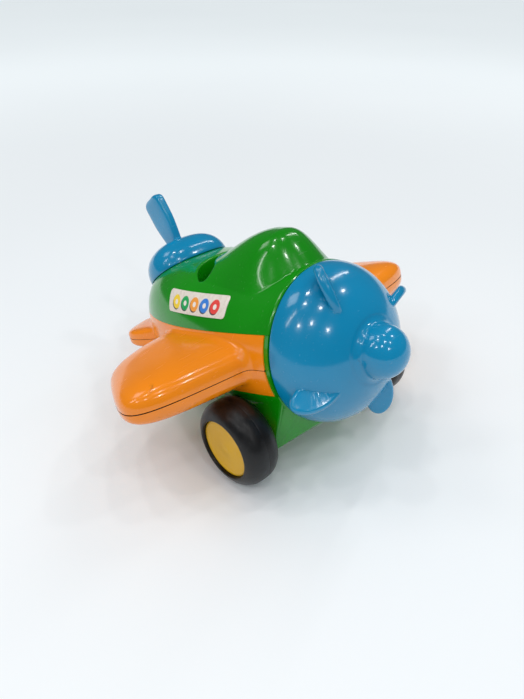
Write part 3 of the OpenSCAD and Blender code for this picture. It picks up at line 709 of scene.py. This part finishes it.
LOW_NF, LOW_NS, LOW_TIP_Y = 40, 90, 66.0
LOW_CORE = np.array([0, LOW_TIP_Y, -2.0])
low_rows = np.concatenate([[0, 0.003, 0.008], np.linspace(0.02, 0.985, 56)])
low_depth = np.concatenate([[0.5, 0.12], np.zeros(57)])
tip_o = on_body(np.array([0, LOW_TIP_Y, 0]), np.array([0, 0, -1.0]), 0)
tip_i = on_body(np.array([0, LOW_TIP_Y, 0]), np.array([0, 0, -1.0]), WALL)
low_o = closed_edge(edge_right(BELT_LOW, -1, 0, LOW_NF, LOW_NS))
low_i = closed_edge(edge_right(BELT_LOW, -1, WALL, LOW_NF, LOW_NS))
outer = swept(low_o, np.broadcast_to(tip_o, low_o.shape), low_rows, low_depth, LOW_CORE)
inner = swept(low_i, np.broadcast_to(tip_i, low_i.shape), low_rows, np.full(len(low_rows), WALL), LOW_CORE)
outer[:, 0], inner[:, 0] = closed_edge(edge_right(BELT_LOW, -1, 0.5, LOW_NF, LOW_NS)), low_i
lower = shell("lower_shell_fine", outer, inner, ring=True, tips=[tip_o, tip_i])

HOUSING_HALF, HOUSING_LOW, HOUSING_Y, HOUSING_TALL = 43.0, 15.0, (-2.5, 30.0), 17.0
HOUSING_TOP, CORNER_R, GAP = -16.0, 3.0, 0.3


def housing(name, inset):
    """Axle housing: a hull from the round front of the body to a low box with rounded edges."""
    r = RING_R - (inset + GAP if inset else 0)
    pts = []
    a0 = math.asin((HOUSING_TOP + inset) / r)
    for y in ((-1.0, 3.0) if inset else (0.5, 3.0)):
        for a in np.linspace(-math.pi - a0, a0, 90):
            pts.append(to_world([r * math.cos(a), y, r * math.sin(a)]))
    half = HOUSING_HALF - inset
    rims = ((half, 0.72), (half - 0.5, 0.93), (half - 1.6, 1.0))
    for y in (HOUSING_Y[0] + CORNER_R + inset, HOUSING_Y[1] - CORNER_R - inset):
        for s in (-1, 1):
            for a in np.linspace(0, 2 * math.pi, 24, endpoint=False):
                for x, k in rims:
                    pts.append(np.array([s * x, RING[1] + y + k * CORNER_R * math.cos(a),
                                         HOUSING_LOW + CORNER_R + inset + k * CORNER_R * math.sin(a)]) * MM)
            for x, k in rims:
                for t in (-k * CORNER_R, k * CORNER_R):
                    pts.append(np.array([s * x, RING[1] + y + t,
                                         HOUSING_LOW + HOUSING_TALL + CORNER_R]) * MM)
    return hull(name, pts)


boolean(lower, housing("housing_out", 0), "UNION")
boolean(lower, housing("housing_in", WALL), "DIFFERENCE")
ROLLER = np.array(JOINT["roller_roll"]["pos_m"])


def box_mesh(name, centre, size):
    c, h = np.array(centre), np.array(size) / 2
    pts = [c + h * np.array([x, y, z]) for x in (-1, 1) for y in (-1, 1) for z in (-1, 1)]
    return hull(name, pts)


def tube_mesh(name, centre, radius, length, n=64):
    """Round bar along X."""
    pts = [np.array(centre) + np.array([s * length / 2, radius * math.cos(a), radius * math.sin(a)])
           for s in (-1, 1) for a in np.linspace(0, 2 * math.pi, n, endpoint=False)]
    return hull(name, pts)


# in metres: the roller's pocket, the lugs that carry its pin, and the axle's hole
POCKET_SIZE = (0.015, 0.024, 0.022)
LUG_AT, LUG_R, LUG_T = 0.0088, 0.005, 0.0026
AXLE_HOLE_R, AXLE_HOLE_L = 0.004, 0.12
boolean(lower, box_mesh("roller_pocket", ROLLER, POCKET_SIZE), "DIFFERENCE")
for s in (-1, 1):
    boolean(lower, tube_mesh("lug", ROLLER + np.array([s * LUG_AT, 0, 0]), LUG_R, LUG_T), "UNION")
boolean(lower, tube_mesh("axle_hole", AXLE * MM, AXLE_HOLE_R, AXLE_HOLE_L), "DIFFERENCE")
finish_piece(lower, "airframe", mat_green, ["lower_shell"])

# ---- blue tail cap and fin -------------------------------------------------------------------

CAP_H, CAP_PROUD = 20.0, 0.8
rim = cap_ring(0, 40, 90)
rim_d = rim - CAP_MID
rim_len = np.linalg.norm(rim_d, axis=1, keepdims=True)
rim_u = rim_d / rim_len


def cap_row(v, grow, h, lift=0.0):
    """Row of cap points at angle v above its edge, grown sideways by grow and h high."""
    return CAP_MID + (rim_len + grow) * np.cos(v) ** 0.75 * rim_u + (h * np.sin(v) ** 0.9 + lift) * CAP_OUT


turns = np.linspace(0, 1, 60)[1:-1] * math.pi / 2
cap_rim = [cap_row(0, CAP_PROUD - back, CAP_H, lift) for back, lift in ((0.9, 0.05), (0.25, 0.25), (0.03, 0.7))]
outer = np.stack(cap_rim + [cap_row(v, CAP_PROUD, CAP_H) for v in turns[1:]], 1)
inner_turns = np.concatenate([[0, 0.01, 0.02], turns[1:]])
inner = np.stack([cap_row(v, CAP_PROUD - WALL, CAP_H - WALL) for v in inner_turns], 1)
cap = shell("tail_cap_fine", outer, inner, ring=True,
            tips=[CAP_MID + CAP_H * CAP_OUT, CAP_MID + (CAP_H - WALL) * CAP_OUT])

FIN_FOOT, FIN_HEAD = np.array([0, 129.5, 50.0]), np.array([0, 146.0, 86.5])
FIN_ROUND = 0.8         # share of the fin's length after which its end rounds off


def squared(v):
    return np.sign(v) * np.sqrt(np.abs(v))


def fin_mesh():
    """Fin of squared oval section, widening to a rounded end."""
    rows = []
    ts = np.concatenate([np.linspace(0, FIN_ROUND, 40)[:-1],
                         FIN_ROUND + 0.2 * np.sin(np.linspace(0, 1, 30) * math.pi / 2)])
    around = np.linspace(0, 2 * math.pi, 72, endpoint=False)
    around = around - 0.18 * np.sin(4 * around)
    for t in ts:
        end = 1.0 if t < FIN_ROUND else max(0.01, 1 - ((t - FIN_ROUND) / 0.2) ** 4) ** (1 / 2.8)
        c = (12 + 8 * float(smooth(t / 0.6))) / 2 * end * squared(np.sin(around))
        k = (3.2 + 0.5 * t) * end * squared(np.cos(around))
        rows.append(FIN_FOOT + t * (FIN_HEAD - FIN_FOOT) + np.stack([k, c, -0.4 * c], -1))
    return stack("fin", rows)


boolean(cap, fin_mesh(), "UNION")
soften(cap, 20, 2.6, 14)
finish_piece(cap, "airframe", mat_blue, ["tail_cap"])

# ---- blue nose -------------------------------------------------------------------------------

DOME_R, DOME_BACK, DOME_LEN = 44.7, 0.6, 34.5
SPINNER_R, NOSE_REACH, FLARE = 14.5, 50.5, 4.5
AXIS_U = np.array([1.0, 0, 0])
AXIS_V = np.array([0.0, 0, 1.0])
AXIS_W = np.array([0.0, -1.0, 0])


def nose_world(p):
    """Nose coordinates, +Z forward and +Y up, to the row frame."""
    p = np.asarray(p, float)
    return to_world(p[..., 0:1] * AXIS_U + p[..., 1:2] * AXIS_V + p[..., 2:3] * AXIS_W)


def dome_profile(inset, n=70):
    r, h, s = DOME_R - inset, DOME_LEN - inset, SPINNER_R - inset
    ball = NOSE_REACH - SPINNER_R
    a1 = math.acos((s + FLARE) / r)
    z1 = DOME_BACK + h * math.sin(a1)
    pts = [(r * math.cos(a), DOME_BACK + h * math.sin(a)) for a in np.linspace(0, a1, n)]
    pts += [(s + FLARE * (1 - math.sin(a)), z1 + (ball - z1) * (1 - math.cos(a)))
            for a in np.radians(np.arange(8, 90, 8))]
    pts += [(s * math.cos(a), ball + s * math.sin(a)) for a in np.radians(np.arange(0, 90, 4))]
    return pts


def lathe(name, profile, place, n=220):
    """Solid of revolution; the profile starts and ends on the axis."""
    prof = np.array(profile)
    ang = np.linspace(0, 2 * math.pi, n, endpoint=False)
    body = prof[1:-1]
    grid = np.stack([body[None, :, 0] * np.cos(ang)[:, None], body[None, :, 0] * np.sin(ang)[:, None],
                     np.broadcast_to(body[None, :, 1], (n, len(body)))], -1)
    m = len(body)
    pts = np.concatenate([grid.reshape(-1, 3), [[0, 0, prof[0][1]], [0, 0, prof[-1][1]]]])
    faces = [tuple(f) for f in grid_faces(n, m, True)]
    for i in range(n):
        j = (i + 1) % n
        faces.append((n * m, j * m, i * m))
        faces.append((n * m + 1, i * m + m - 1, j * m + m - 1))
    return outward(make(name, place(pts), faces))


out_prof = dome_profile(0)
out_prof[0] = (DOME_R - 0.05, DOME_BACK + 0.5)
in_prof = dome_profile(WALL, 40)
boss_r, boss_back, boss_hole, boss_end = 6.0, 1.3, 2.5, 32.0
in_side = [p for p in in_prof if p[0] > boss_r]
profile = ([(0, NOSE_REACH)] + out_prof[::-1] + [(DOME_R - 0.2, DOME_BACK + 0.12), (DOME_R - 0.55, DOME_BACK)]
           + [(DOME_R - WALL, DOME_BACK)] + in_side[1:]
           + [(boss_r, in_side[-1][1]), (boss_r, boss_back), (boss_hole, boss_back), (boss_hole, boss_end),
              (0, boss_end)])
dome = lathe("nose_dome_fine", profile, nose_world)

BLADE_T, BLADE_HALF, BLADE_H, BLADE_EDGE = 5.0, 9.3, 12.0, 2.3
BLADE_AT, BLADE_SLANT, BLADE_BURY, BLADE_TURN = 37.5, math.radians(42), 1.8, 110
BLADE_F = DOME_BACK + DOME_LEN * math.sqrt(1 - (BLADE_AT / DOME_R) ** 2)


def root_v(u):
    """Height of the dome's surface under the blade's foot."""
    f = (BLADE_F - u * math.cos(BLADE_SLANT) - DOME_BACK) / DOME_LEN
    return np.sqrt(DOME_R ** 2 * (1 - f * f) - (u * math.sin(BLADE_SLANT)) ** 2) - BLADE_AT


def blade(name, turn):
    """Half-round plate with fully rounded edges, standing out from the nose axis."""
    c, s = math.cos(BLADE_SLANT), math.sin(BLADE_SLANT)
    ct, st = math.cos(turn), math.sin(turn)
    levels = np.linspace(0, math.pi / 2, 8)
    loops = []
    for side, order in ((-1, levels), (1, levels[::-1])):
        for t in order:
            inset = BLADE_EDGE * (1 - math.sin(t))
            w = side * (BLADE_T / 2 - BLADE_EDGE + BLADE_EDGE * math.cos(t))
            half, high = BLADE_HALF - inset, BLADE_H - inset
            us = -half * np.cos(np.linspace(0, math.pi, 57))
            top = root_v(us) + high * np.maximum(0, 1 - (np.abs(us) / half) ** 2.3) ** (1 / 2.3)
            low_u = us[::-1][1:-1]
            u = np.concatenate([us, low_u])
            v = np.concatenate([top, root_v(low_u) - BLADE_BURY])
            x = BLADE_AT + v
            y = -u * s - w * c
            z = BLADE_F - u * c + w * s
            loops.append(np.stack([x * ct - y * st, x * st + y * ct, z], -1))
    return stack(name, loops, place=nose_world)


for k in range(4):
    boolean(dome, blade("blade", math.radians(BLADE_TURN + 90 * k)), "UNION")
soften(dome, 25, 1.1, 5)
finish_piece(dome, "nose", mat_blue, ["nose_dome"])

# ---- wheels ----------------------------------------------------------------------------------

TYRE_R, TYRE_W, TRACK, SEAT_R, HUB_R = 25.4, 23.0, 116.0, 15.6, 17.3
HUB_FACE = TRACK / 2 + TYRE_W / 2 - 1.9
HUB_IN, AXLE_R = 47.3, 2.5


def wheel_place(side):
    """Wheel coordinates, +Z outward along the axle, to the row frame."""
    def place(p):
        p = np.asarray(p, float)
        return np.stack([AXLE[0] + side * p[:, 2], AXLE[1] + p[:, 0], AXLE[2] + p[:, 1]], -1) * MM
    return place


def ring_lathe(name, profile, place, n=200):
    """Solid of revolution of a closed section away from the axis."""
    prof = np.array(profile)
    ang = np.linspace(0, 2 * math.pi, n, endpoint=False)
    m = len(prof)
    grid = np.stack([prof[None, :, 0] * np.cos(ang)[:, None], prof[None, :, 0] * np.sin(ang)[:, None],
                     np.broadcast_to(prof[None, :, 1], (n, m))], -1)
    faces = []
    for i in range(n):
        a, b = i * m, ((i + 1) % n) * m
        for j in range(m):
            k = (j + 1) % m
            faces.append((a + j, a + k, b + k, b + j))
    return outward(make(name, place(grid.reshape(-1, 3)), faces))


def tyre_profile():
    """Section with the hub's recess on the outer side and a fine mould line round the tread."""
    half, r = TYRE_W / 2, 9.4
    mid = TRACK / 2
    pts = []
    for a in np.linspace(-math.pi / 2, 0, 26):
        pts.append((TYRE_R - r + r * math.cos(a), mid - half + r + r * math.sin(a)))
    for w in (-0.5, -0.25, 0.0, 0.25, 0.5):
        pts.append((TYRE_R + (0.0 if abs(w) > 0.3 else -0.12 * (1 - abs(w) * 3)), mid + w))
    for a in np.linspace(0, math.pi / 2, 26):
        x, z = TYRE_R - r + r * math.cos(a), mid + half - r + r * math.sin(a)
        if x > HUB_R + 0.9:
            pts.append((x, z))
    lip = pts[-1][1]
    pts += [(HUB_R + 0.55, lip + 0.05), (HUB_R + 0.2, lip - 0.1), (HUB_R + 0.05, lip - 0.5),
            (HUB_R + 0.02, HUB_FACE - 1.6), (SEAT_R + 0.02, HUB_FACE - 1.6), (SEAT_R + 0.02, mid - half + 0.05)]
    return pts


def hub_profile():
    """Outer face with a rounded rim, a shallow dish and a raised middle, then the hidden back."""
    face = HUB_FACE
    return [(0, face - 0.10), (2.2, face - 0.10), (3.0, face - 0.16), (3.5, face - 0.35), (9.0, face - 0.42),
            (13.4, face - 0.40), (14.3, face - 0.28), (14.9, face - 0.06), (15.6, face), (16.5, face - 0.04),
            (17.0, face - 0.22), (17.22, face - 0.55), (17.26, face - 1.0), (17.2, face - 1.55),
            (SEAT_R, face - 1.6), (SEAT_R, HUB_IN + 1.4), (SEAT_R - 0.5, HUB_IN + 1), (5.5, HUB_IN + 1),
            (5.5, HUB_IN - 1.2), (AXLE_R + 0.01, HUB_IN - 1.2), (AXLE_R + 0.01, HUB_FACE - 4),
            (0, HUB_FACE - 4)]


for side, name in ((-1, "right"), (1, "left")):
    place = wheel_place(side)
    tyre = ring_lathe(name + "_tyre_fine", tyre_profile(), place)
    finish_piece(tyre, "wheelset", mat_tyre, [name + "_tyre"], sharp=50)
    hub = lathe(name + "_hub_fine", hub_profile(), place, n=160)
    finish_piece(hub, "wheelset", mat_yellow, [name + "_hub"], sharp=50)

# ---- labels: rounded printed patches with plain coloured rings, no lettering ---------------------

# corners as Y and Z on the body's side: front low, front high, rear low, rear high
LABEL = np.array([[31.5, 26.4], [32.5, 36.2], [79.5, 28.0], [84.2, 38.6]])
LABEL_SIZE = (50.0, 11.0)
FILM_TOP, FILM_BACK = -0.42, -0.02      # depths of the film's face and back; below 0 is proud of the shell
RING_FIRST, RING_STEP, RING_MID, RING_OUT, RING_IN = 8.3, 8.35, 5.5, 3.5, 1.3


def label_material():
    mat, tree, shader = new_material("printed_film")
    link = tree.links.new
    uv = node(tree, "ShaderNodeUVMap", uv_map="print")
    place = node(tree, "ShaderNodeMapping")
    place.inputs["Scale"].default_value = (LABEL_SIZE[0], LABEL_SIZE[1], 1)
    link(uv.outputs["UV"], place.inputs["Vector"])
    fade = node(tree, "ShaderNodeTexNoise", Scale=0.35, Detail=4.0, Roughness=0.6)
    link(place.outputs["Vector"], fade.inputs["Vector"])
    color = ramp(tree, fade.outputs["Fac"], [(0.3, (0.70, 0.61, 0.53)), (0.7, (0.76, 0.68, 0.60))])

    def paint(color, mask, rgb):
        mix = node(tree, "ShaderNodeMix", data_type="RGBA")
        link(mask, mix.inputs["Factor"])
        link(color, mix.inputs["A"])
        mix.inputs["B"].default_value = (*rgb, 1)
        return mix.outputs["Result"]

    def disc(x, y, r):
        dist = node(tree, "ShaderNodeVectorMath", operation="DISTANCE")
        link(place.outputs["Vector"], dist.inputs[0])
        dist.inputs[1].default_value = (x, y, 0)
        edge = node(tree, "ShaderNodeMapRange")
        edge.inputs["From Min"].default_value = r + 0.12
        edge.inputs["From Max"].default_value = r - 0.12
        link(dist.outputs["Value"], edge.inputs["Value"])
        return edge.outputs["Result"]

    tints = [(0.75, 0.06, 0.05), (0.04, 0.20, 0.62), (0.85, 0.32, 0.05), (0.02, 0.36, 0.10),
             (0.86, 0.60, 0.04)]
    for i, tint in enumerate(tints):
        x = RING_FIRST + RING_STEP * i
        color = paint(color, disc(x + 0.45, RING_MID - 0.6, RING_OUT), (0.05, 0.05, 0.06))
        color = paint(color, disc(x, RING_MID, RING_OUT), tint)
        color = paint(color, disc(x, RING_MID, RING_IN), (0.80, 0.74, 0.67))
    link(color, shader.inputs["Base Color"])
    link(ramp(tree, fade.outputs["Fac"], [(0.3, grey(0.22)), (0.7, grey(0.36))]), shader.inputs["Roughness"])
    return mat


mat_label = label_material()


def label(name, side):
    """Film 0.4 mm thick, with rounded corners, laid over the shell as rings from edge to middle."""
    w, h, r = LABEL_SIZE[0], LABEL_SIZE[1], 1.7
    edge = []
    for cx, cy, a0 in ((w - r, h - r, 0), (r, h - r, 90), (r, r, 180), (w - r, r, 270)):
        edge += [(cx + r * math.cos(math.radians(a0 + t)), cy + r * math.sin(math.radians(a0 + t)))
                 for t in range(0, 91, 10)]
    edge = np.array(edge)
    dense = []
    for p, q in zip(edge, np.roll(edge, -1, 0)):
        steps = max(1, int(np.linalg.norm(q - p) / 1.2))
        dense += [p + (q - p) * k / steps for k in range(steps)]
    edge = np.array(dense)
    mid = np.array([w / 2, h / 2])

    def lay(st, e):
        u, v = st[:, 0:1] / w, st[:, 1:2] / h
        c = LABEL
        yz = (1 - u) * ((1 - v) * c[0] + v * c[1]) + u * ((1 - v) * c[2] + v * c[3])
        start = np.concatenate([0 * yz[:, :1], yz], 1)
        p = on_body(start, np.tile([1.0, 0, 0], (len(yz), 1)), e)
        return p * np.array([side, 1, 1])

    scales = np.linspace(1, 0.04, 12)
    loops, flat = [], []
    for s, e in [(1.0, FILM_BACK), (1.0, -0.33), (0.996, -0.4)] + [(s, FILM_TOP) for s in scales[1:]]:
        st = mid + (edge - mid) * s
        loops.append(lay(st, e))
        flat.append(st)
    n = len(edge)
    flat.append(mid + (edge - mid) * 0.5)
    pts = np.concatenate(loops + [lay(flat[-1], FILM_BACK)])
    st = np.concatenate(flat)
    m = len(loops)
    faces = ring_quads(m, n)
    faces.append(tuple((m - 1) * n + i for i in range(n)))
    for i in range(n):
        j = (i + 1) % n
        faces.append((j, i, m * n + i, m * n + j))
    faces.append(tuple(m * n + i for i in range(n))[::-1])
    obj = outward(make(name, to_world(pts), faces))
    layer = obj.data.uv_layers.new(name="print")
    loop_verts = np.zeros(len(obj.data.loops), int)
    obj.data.loops.foreach_get("vertex_index", loop_verts)
    uvs = st[loop_verts] / np.array([w, h])
    if side > 0:
        uvs[:, 0] = 1 - uvs[:, 0]
    layer.data.foreach_set("uv", uvs.ravel())
    return obj


for side, name in ((-1, "right_label"), (1, "left_label")):
    finish_piece(label(name + "_fine", side), "airframe", mat_label, [name], sharp=60)

# ---- finishes of the exact CAD nodes -----------------------------------------------------------

CAD_FINISH = {"front_bulkhead": mat_green, "nose_shaft": mat_steel, "nose_bush": mat_white,
              "nose_washer": mat_white, "nose_clip": mat_steel, "wheel_axle": mat_steel,
              "axle_bushes": mat_white, "wheel_spacers": mat_white, "tail_roller": mat_roller,
              "roller_pin": mat_steel, "body_screws": mat_zinc, "wing_screws": mat_zinc}
for name, mat in CAD_FINISH.items():
    nodes[name].data.materials.clear()
    nodes[name].data.materials.append(mat)

# ---- floor, light and camera -------------------------------------------------------------------

FLOOR_HALF = 4
GLOW_FROM, GLOW_TO, GLOW = 0.30, 1.50, 0.36             # metres from the toy, and strength beyond
DIFFUSE_LEVEL, GLOSSY_LEVEL, CAMERA_EXTRA = 0.62, 0.10, 0.26

floor_mat, floor_tree, floor_shader = new_material("pale_floor")
floor_link = floor_tree.links.new
floor_coord = node(floor_tree, "ShaderNodeTexCoord")
floor_noise = node(floor_tree, "ShaderNodeTexNoise", Scale=1.4, Detail=2.0)
floor_link(floor_coord.outputs["Object"], floor_noise.inputs["Vector"])
floor_tints = [(0.3, (0.85, 0.865, 0.875)), (0.7, (0.88, 0.892, 0.90))]
floor_link(ramp(floor_tree, floor_noise.outputs["Fac"], floor_tints), floor_shader.inputs["Base Color"])
floor_shader.inputs["Roughness"].default_value = 0.6
# the lamps don't reach the far floor, so it glows faintly with distance from the toy
floor_range = node(floor_tree, "ShaderNodeVectorMath", operation="LENGTH")
floor_link(floor_coord.outputs["Object"], floor_range.inputs[0])
far_glow = node(floor_tree, "ShaderNodeMapRange")
far_glow.interpolation_type = "SMOOTHSTEP"
for key, value in (("From Min", GLOW_FROM), ("From Max", GLOW_TO), ("To Max", GLOW)):
    far_glow.inputs[key].default_value = value
floor_link(floor_range.outputs["Value"], far_glow.inputs["Value"])
floor_link(far_glow.outputs["Result"], floor_shader.inputs["Emission Strength"])
floor_shader.inputs["Emission Color"].default_value = (0.92, 0.985, 1.0, 1)
floor_corners = [(x * FLOOR_HALF, y * FLOOR_HALF, 0) for x, y in ((-1, -1), (1, -1), (1, 1), (-1, 1))]
floor = make("floor", floor_corners, [(0, 1, 2, 3)], smooth_shade=False)
floor.data.materials.append(floor_mat)

# the world is weak for glossy rays, so that the plastic keeps its colour, and brighter as a backdrop
world = bpy.data.worlds.new("studio")
bpy.context.scene.world = world
world.use_nodes = True
world_tree = world.node_tree
sky = world_tree.nodes["Background"]
sky.inputs["Color"].default_value = (0.90, 0.96, 1.0, 1)
path = node(world_tree, "ShaderNodeLightPath")
level = node(world_tree, "ShaderNodeMapRange")
world_tree.links.new(path.outputs["Is Glossy Ray"], level.inputs["Value"])
level.inputs["To Min"].default_value = DIFFUSE_LEVEL
level.inputs["To Max"].default_value = GLOSSY_LEVEL
seen = node(world_tree, "ShaderNodeMath", operation="MULTIPLY_ADD")
world_tree.links.new(path.outputs["Is Camera Ray"], seen.inputs[0])
seen.inputs[1].default_value = CAMERA_EXTRA
world_tree.links.new(level.outputs["Result"], seen.inputs[2])
world_tree.links.new(seen.outputs["Value"], sky.inputs["Strength"])
bpy.context.scene.view_settings.view_transform = "Standard"

CENTRE = Vector(((cad_lo[0] + cad_hi[0]) / 2, (cad_lo[1] + cad_hi[1]) / 2, (cad_lo[2] + cad_hi[2]) / 2))


def lamp(name, offset, size_x, size_y, radiance):
    """Bright panel facing the toy; its power follows from its area."""
    data = bpy.data.lights.new(name, "AREA")
    data.shape = "RECTANGLE"
    data.size, data.size_y = size_x, size_y
    data.energy = radiance * math.pi * size_x * size_y
    obj = bpy.data.objects.new(name, data)
    obj.location = CENTRE + Vector(offset)
    obj.rotation_euler = (-Vector(offset)).to_track_quat("-Z", "Y").to_euler()
    bpy.context.scene.collection.objects.link(obj)


LAMP_SIDE, LAMP_RADIANCE = 0.075, 46.0
LAMPS = [(-0.62, -0.52, 1.00), (-0.40, 0.10, 1.20), (-0.10, 0.30, 1.25), (0.24, 0.05, 1.30),
         (-0.20, -0.45, 1.25), (0.10, -0.70, 1.10), (-0.85, -0.15, 0.85), (0.60, -0.35, 1.05),
         (-0.30, -0.95, 0.80)]
for i, place in enumerate(LAMPS):
    lamp("lamp_%d" % i, place, LAMP_SIDE, LAMP_SIDE, LAMP_RADIANCE)
lamp("tube_0", (-0.95, 0.35, 1.00), 0.05, 0.55, 14.0)
lamp("tube_1", (0.85, 0.20, 0.95), 0.05, 0.70, 14.0)
lamp("back_panel", (-0.45, 0.85, 1.25), 0.45, 0.45, 3.2)

camera_data = bpy.data.cameras.new("camera")
camera = bpy.data.objects.new("camera", camera_data)
bpy.context.scene.collection.objects.link(camera)
bpy.context.scene.camera = camera
# fitted to the photograph: focal length in its pixels, place and aim in metres from the front ring
LONG_SIDE_PX, FOCAL_PX = 699, 560.9
FROM_RING, AIM_FROM_RING = (-0.2017, -0.1618, 0.1755), (-0.0505, 0.0, 0.0188)
camera_data.sensor_width = 36.0
camera_data.lens = FOCAL_PX * camera_data.sensor_width / LONG_SIDE_PX
camera_data.clip_start, camera_data.clip_end = 0.01, 20
ring_centre = Vector(RING * MM)
camera.location = ring_centre + Vector(FROM_RING)
aim = ring_centre + Vector(AIM_FROM_RING)
camera.rotation_euler = (aim - camera.location).to_track_quat("-Z", "Y").to_euler()
